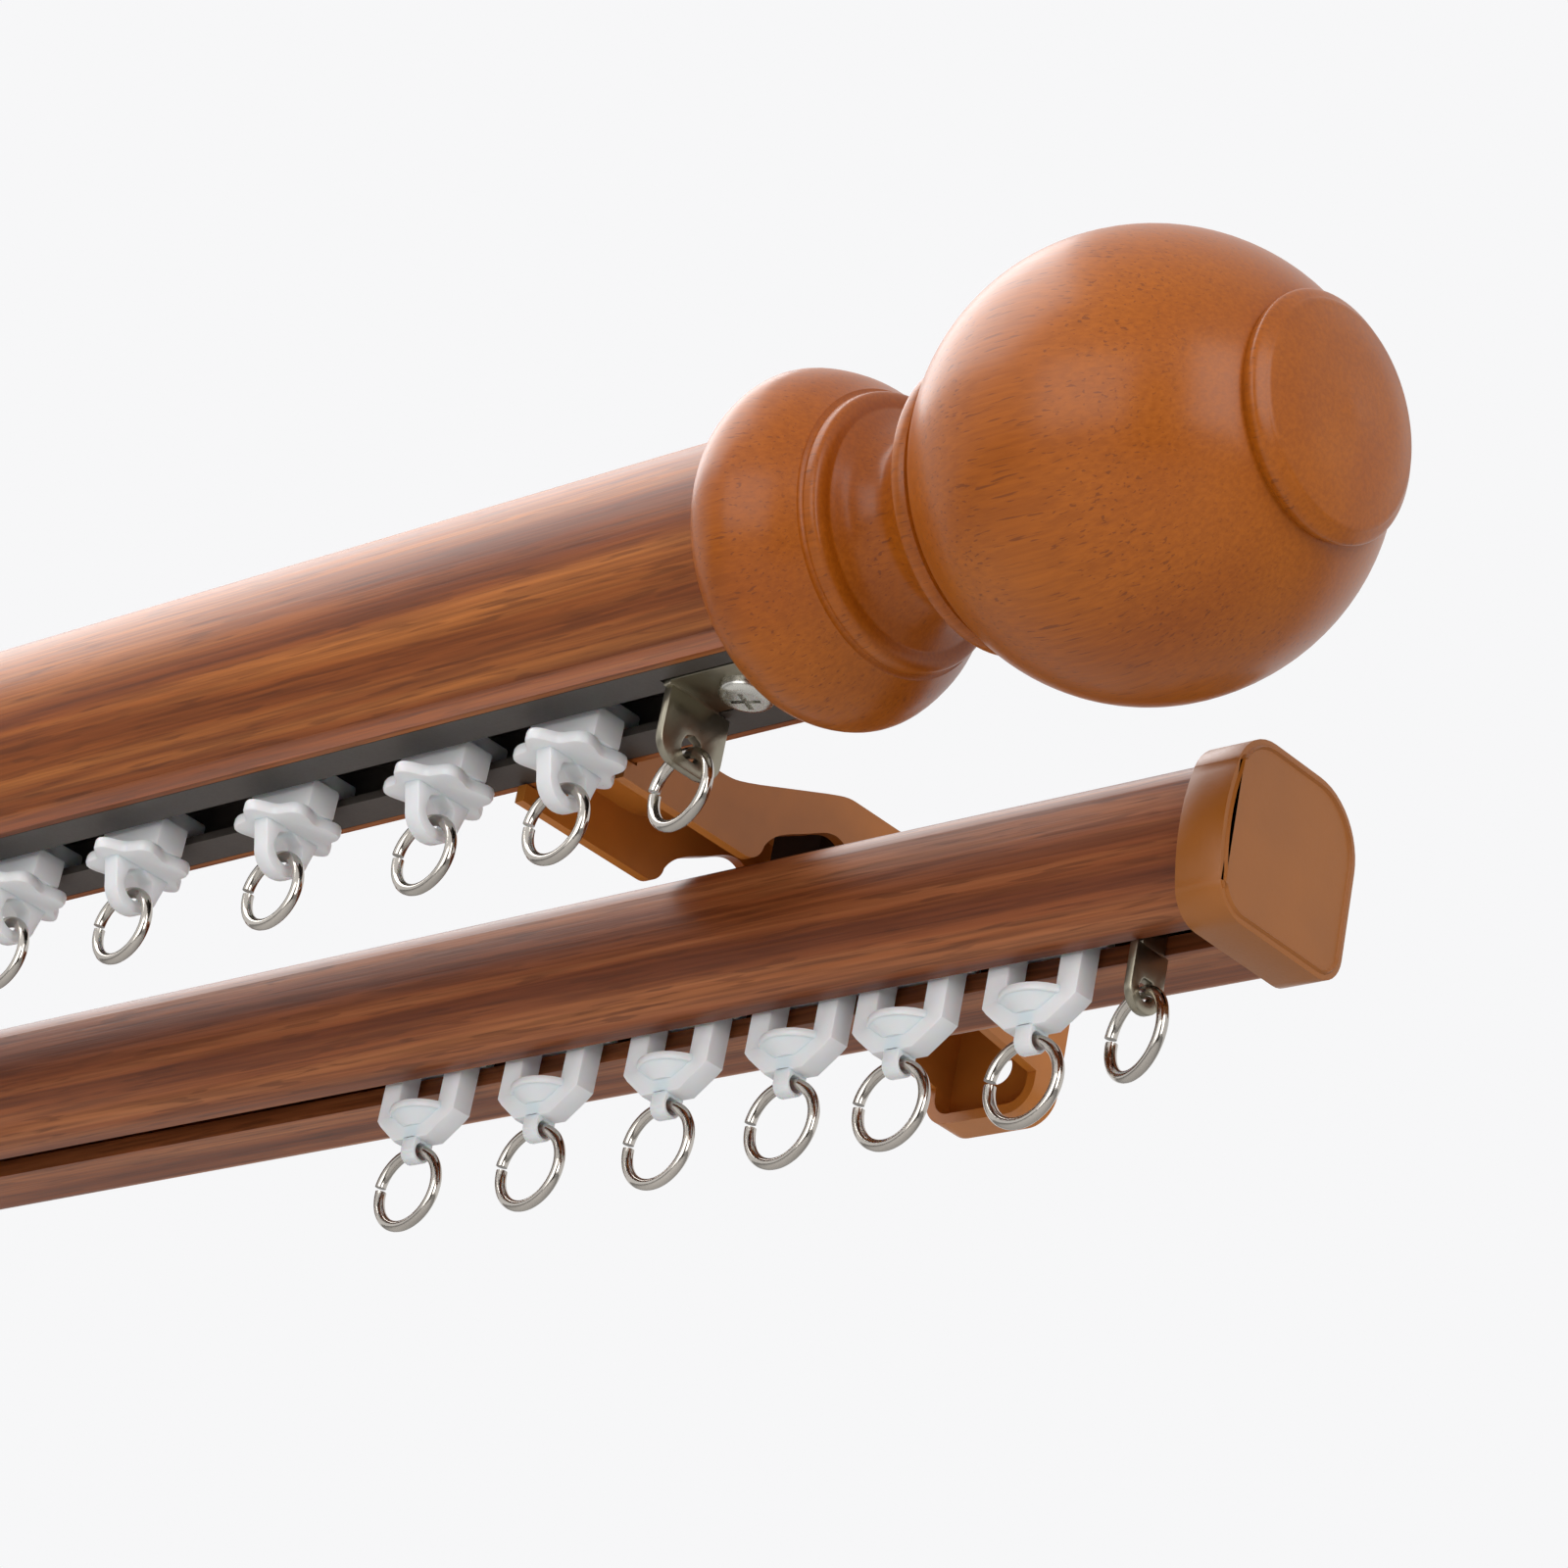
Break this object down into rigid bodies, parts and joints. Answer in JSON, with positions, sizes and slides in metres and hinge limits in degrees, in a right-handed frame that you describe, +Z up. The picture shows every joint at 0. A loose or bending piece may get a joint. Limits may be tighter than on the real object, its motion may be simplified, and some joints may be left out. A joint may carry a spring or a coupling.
{
  "type": "double curtain rail",
  "caption": "Wall-mounted double curtain rail: round wood-look rail with turned ball finials, slimmer rear rail, sliding runners with wire rings.",
  "frame": {"origin": "on the wall face, midway between the two brackets and the screw holes of their plates", "axes": "+X along the rails, +Y into the wall, +Z up; the room is towards -Y"},
  "size_m": [0.7592, 0.1286, 0.0895],
  "materials": {
    "turned_beech": "turned beech, orange-brown stain, satin lacquer",
    "black_plastic": "moulded plastic, hidden",
    "zinc_steel": "zinc-plated steel",
    "front_wood_film": "rolled steel with a satin wood-grain film",
    "rear_wood_film": "rolled steel with a satin wood-grain film",
    "grey_channel": "dark grey coated steel",
    "white_plastic": "milky translucent moulded plastic",
    "caramel_plastic": "satin moulded plastic",
    "caramel_paint": "satin painted pressed steel",
    "nickel_wire": "bright nickel-plated steel wire",
    "nickel_plate": "nickel-plated steel sheet",
    "screw_zinc": "bright zinc-plated steel"
  },
  "bodies": {
    "rails_and_brackets": {"front_rail": "front_wood_film", "front_channel": "grey_channel", "stop_screws": "screw_zinc", "stop_nuts": "zinc_steel", "rear_rail": "rear_wood_film", "front_rail_screws": "screw_zinc", "rear_rail_screws": "screw_zinc", "finial_right": "turned_beech", "finial_plug_right": "black_plastic", "finial_bolt_right": "zinc_steel", "front_stop_right": "nickel_plate", "rear_cap_right": "caramel_plastic", "rear_stop_right": "nickel_plate", "bracket_right": "caramel_paint", "rear_clip_right": "black_plastic", "finial_left": "turned_beech", "finial_plug_left": "black_plastic", "finial_bolt_left": "zinc_steel", "front_stop_left": "nickel_plate", "rear_cap_left": "caramel_plastic", "rear_stop_left": "nickel_plate", "bracket_left": "caramel_paint", "rear_clip_left": "black_plastic"},
    "front_runner_1": {"front_runner_1": "white_plastic"},
    "front_ring_1": {"front_ring_1": "nickel_wire"},
    "front_runner_2": {"front_runner_2": "white_plastic"},
    "front_ring_2": {"front_ring_2": "nickel_wire"},
    "front_runner_3": {"front_runner_3": "white_plastic"},
    "front_ring_3": {"front_ring_3": "nickel_wire"},
    "front_runner_4": {"front_runner_4": "white_plastic"},
    "front_ring_4": {"front_ring_4": "nickel_wire"},
    "front_runner_5": {"front_runner_5": "white_plastic"},
    "front_ring_5": {"front_ring_5": "nickel_wire"},
    "front_runner_6": {"front_runner_6": "white_plastic"},
    "front_ring_6": {"front_ring_6": "nickel_wire"},
    "rear_runner_1": {"rear_runner_1": "white_plastic"},
    "rear_ring_1": {"rear_ring_1": "nickel_wire"},
    "rear_runner_2": {"rear_runner_2": "white_plastic"},
    "rear_ring_2": {"rear_ring_2": "nickel_wire"},
    "rear_runner_3": {"rear_runner_3": "white_plastic"},
    "rear_ring_3": {"rear_ring_3": "nickel_wire"},
    "rear_runner_4": {"rear_runner_4": "white_plastic"},
    "rear_ring_4": {"rear_ring_4": "nickel_wire"},
    "rear_runner_5": {"rear_runner_5": "white_plastic"},
    "rear_ring_5": {"rear_ring_5": "nickel_wire"},
    "rear_runner_6": {"rear_runner_6": "white_plastic"},
    "rear_ring_6": {"rear_ring_6": "nickel_wire"},
    "front_stop_ring_right": {"front_stop_ring_right": "nickel_wire"},
    "rear_stop_ring_right": {"rear_stop_ring_right": "nickel_wire"},
    "front_stop_ring_left": {"front_stop_ring_left": "nickel_wire"},
    "rear_stop_ring_left": {"rear_stop_ring_left": "nickel_wire"}
  },
  "joints": [
    {"name": "front_runner_1_slide", "type": "slide", "parent": "rails_and_brackets", "child": "front_runner_1", "axis": [1, 0, 0], "range_m": [-0.0088, 0.00935]},
    {"name": "front_ring_1_swing", "type": "hinge", "parent": "front_runner_1", "child": "front_ring_1", "pos_m": [0.2585, -0.1, -0.01575], "axis": [1, 0, 0], "range_deg": [-70, 70]},
    {"name": "front_runner_2_slide", "type": "slide", "parent": "rails_and_brackets", "child": "front_runner_2", "axis": [1, 0, 0], "range_m": [-0.0139, 0.0088]},
    {"name": "front_ring_2_swing", "type": "hinge", "parent": "front_runner_2", "child": "front_ring_2", "pos_m": [0.2341, -0.1, -0.01575], "axis": [1, 0, 0], "range_deg": [-70, 70]},
    {"name": "front_runner_3_slide", "type": "slide", "parent": "rails_and_brackets", "child": "front_runner_3", "axis": [1, 0, 0], "range_m": [-0.0154, 0.0139]},
    {"name": "front_ring_3_swing", "type": "hinge", "parent": "front_runner_3", "child": "front_ring_3", "pos_m": [0.2046, -0.1, -0.01575], "axis": [1, 0, 0], "range_deg": [-70, 70]},
    {"name": "front_runner_4_slide", "type": "slide", "parent": "rails_and_brackets", "child": "front_runner_4", "axis": [1, 0, 0], "range_m": [-0.011, 0.0154]},
    {"name": "front_ring_4_swing", "type": "hinge", "parent": "front_runner_4", "child": "front_ring_4", "pos_m": [0.1736, -0.1, -0.01575], "axis": [1, 0, 0], "range_deg": [-70, 70]},
    {"name": "front_runner_5_slide", "type": "slide", "parent": "rails_and_brackets", "child": "front_runner_5", "axis": [1, 0, 0], "range_m": [-0.0114, 0.011]},
    {"name": "front_ring_5_swing", "type": "hinge", "parent": "front_runner_5", "child": "front_ring_5", "pos_m": [0.147, -0.1, -0.01575], "axis": [1, 0, 0], "range_deg": [-70, 70]},
    {"name": "front_runner_6_slide", "type": "slide", "parent": "rails_and_brackets", "child": "front_runner_6", "axis": [1, 0, 0], "range_m": [-0.38785, 0.0114]},
    {"name": "front_ring_6_swing", "type": "hinge", "parent": "front_runner_6", "child": "front_ring_6", "pos_m": [0.12, -0.1, -0.01575], "axis": [1, 0, 0], "range_deg": [-70, 70]},
    {"name": "rear_runner_1_slide", "type": "slide", "parent": "rails_and_brackets", "child": "rear_runner_1", "axis": [1, 0, 0], "range_m": [-0.0061, 0.0026]},
    {"name": "rear_ring_1_swing", "type": "hinge", "parent": "rear_runner_1", "child": "rear_ring_1", "pos_m": [0.3053, -0.056, -0.03895], "axis": [1, 0, 0], "range_deg": [-70, 70]},
    {"name": "rear_runner_2_slide", "type": "slide", "parent": "rails_and_brackets", "child": "rear_runner_2", "axis": [1, 0, 0], "range_m": [-0.003, 0.0061]},
    {"name": "rear_ring_2_swing", "type": "hinge", "parent": "rear_runner_2", "child": "rear_ring_2", "pos_m": [0.2832, -0.056, -0.03895], "axis": [1, 0, 0], "range_deg": [-70, 70]},
    {"name": "rear_runner_3_slide", "type": "slide", "parent": "rails_and_brackets", "child": "rear_runner_3", "axis": [1, 0, 0], "range_m": [-0.0063, 0.003]},
    {"name": "rear_ring_3_swing", "type": "hinge", "parent": "rear_runner_3", "child": "rear_ring_3", "pos_m": [0.2642, -0.056, -0.03895], "axis": [1, 0, 0], "range_deg": [-70, 70]},
    {"name": "rear_runner_4_slide", "type": "slide", "parent": "rails_and_brackets", "child": "rear_runner_4", "axis": [1, 0, 0], "range_m": [-0.0082, 0.0063]},
    {"name": "rear_ring_4_swing", "type": "hinge", "parent": "rear_runner_4", "child": "rear_ring_4", "pos_m": [0.2419, -0.056, -0.03895], "axis": [1, 0, 0], "range_deg": [-70, 70]},
    {"name": "rear_runner_5_slide", "type": "slide", "parent": "rails_and_brackets", "child": "rear_runner_5", "axis": [1, 0, 0], "range_m": [-0.0082, 0.0082]},
    {"name": "rear_ring_5_swing", "type": "hinge", "parent": "rear_runner_5", "child": "rear_ring_5", "pos_m": [0.2177, -0.056, -0.03895], "axis": [1, 0, 0], "range_deg": [-70, 70]},
    {"name": "rear_runner_6_slide", "type": "slide", "parent": "rails_and_brackets", "child": "rear_runner_6", "axis": [1, 0, 0], "range_m": [-0.5014, 0.0082]},
    {"name": "rear_ring_6_swing", "type": "hinge", "parent": "rear_runner_6", "child": "rear_ring_6", "pos_m": [0.1935, -0.056, -0.03895], "axis": [1, 0, 0], "range_deg": [-70, 70]},
    {"name": "front_stop_ring_right_swing", "type": "hinge", "parent": "rails_and_brackets", "child": "front_stop_ring_right", "pos_m": [0.28025, -0.1, -0.01495], "axis": [0.9962, -0.0872, 0], "range_deg": [-70, 70]},
    {"name": "rear_stop_ring_right_swing", "type": "hinge", "parent": "rails_and_brackets", "child": "rear_stop_ring_right", "pos_m": [0.3226, -0.056, -0.035], "axis": [0.9563, -0.2924, 0], "range_deg": [-70, 70]},
    {"name": "front_stop_ring_left_swing", "type": "hinge", "parent": "rails_and_brackets", "child": "front_stop_ring_left", "pos_m": [-0.28025, -0.1, -0.01495], "axis": [0.9962, 0.0872, 0], "range_deg": [-70, 70]},
    {"name": "rear_stop_ring_left_swing", "type": "hinge", "parent": "rails_and_brackets", "child": "rear_stop_ring_left", "pos_m": [-0.3226, -0.056, -0.035], "axis": [0.9563, 0.2924, 0], "range_deg": [-70, 70]}
  ]
}
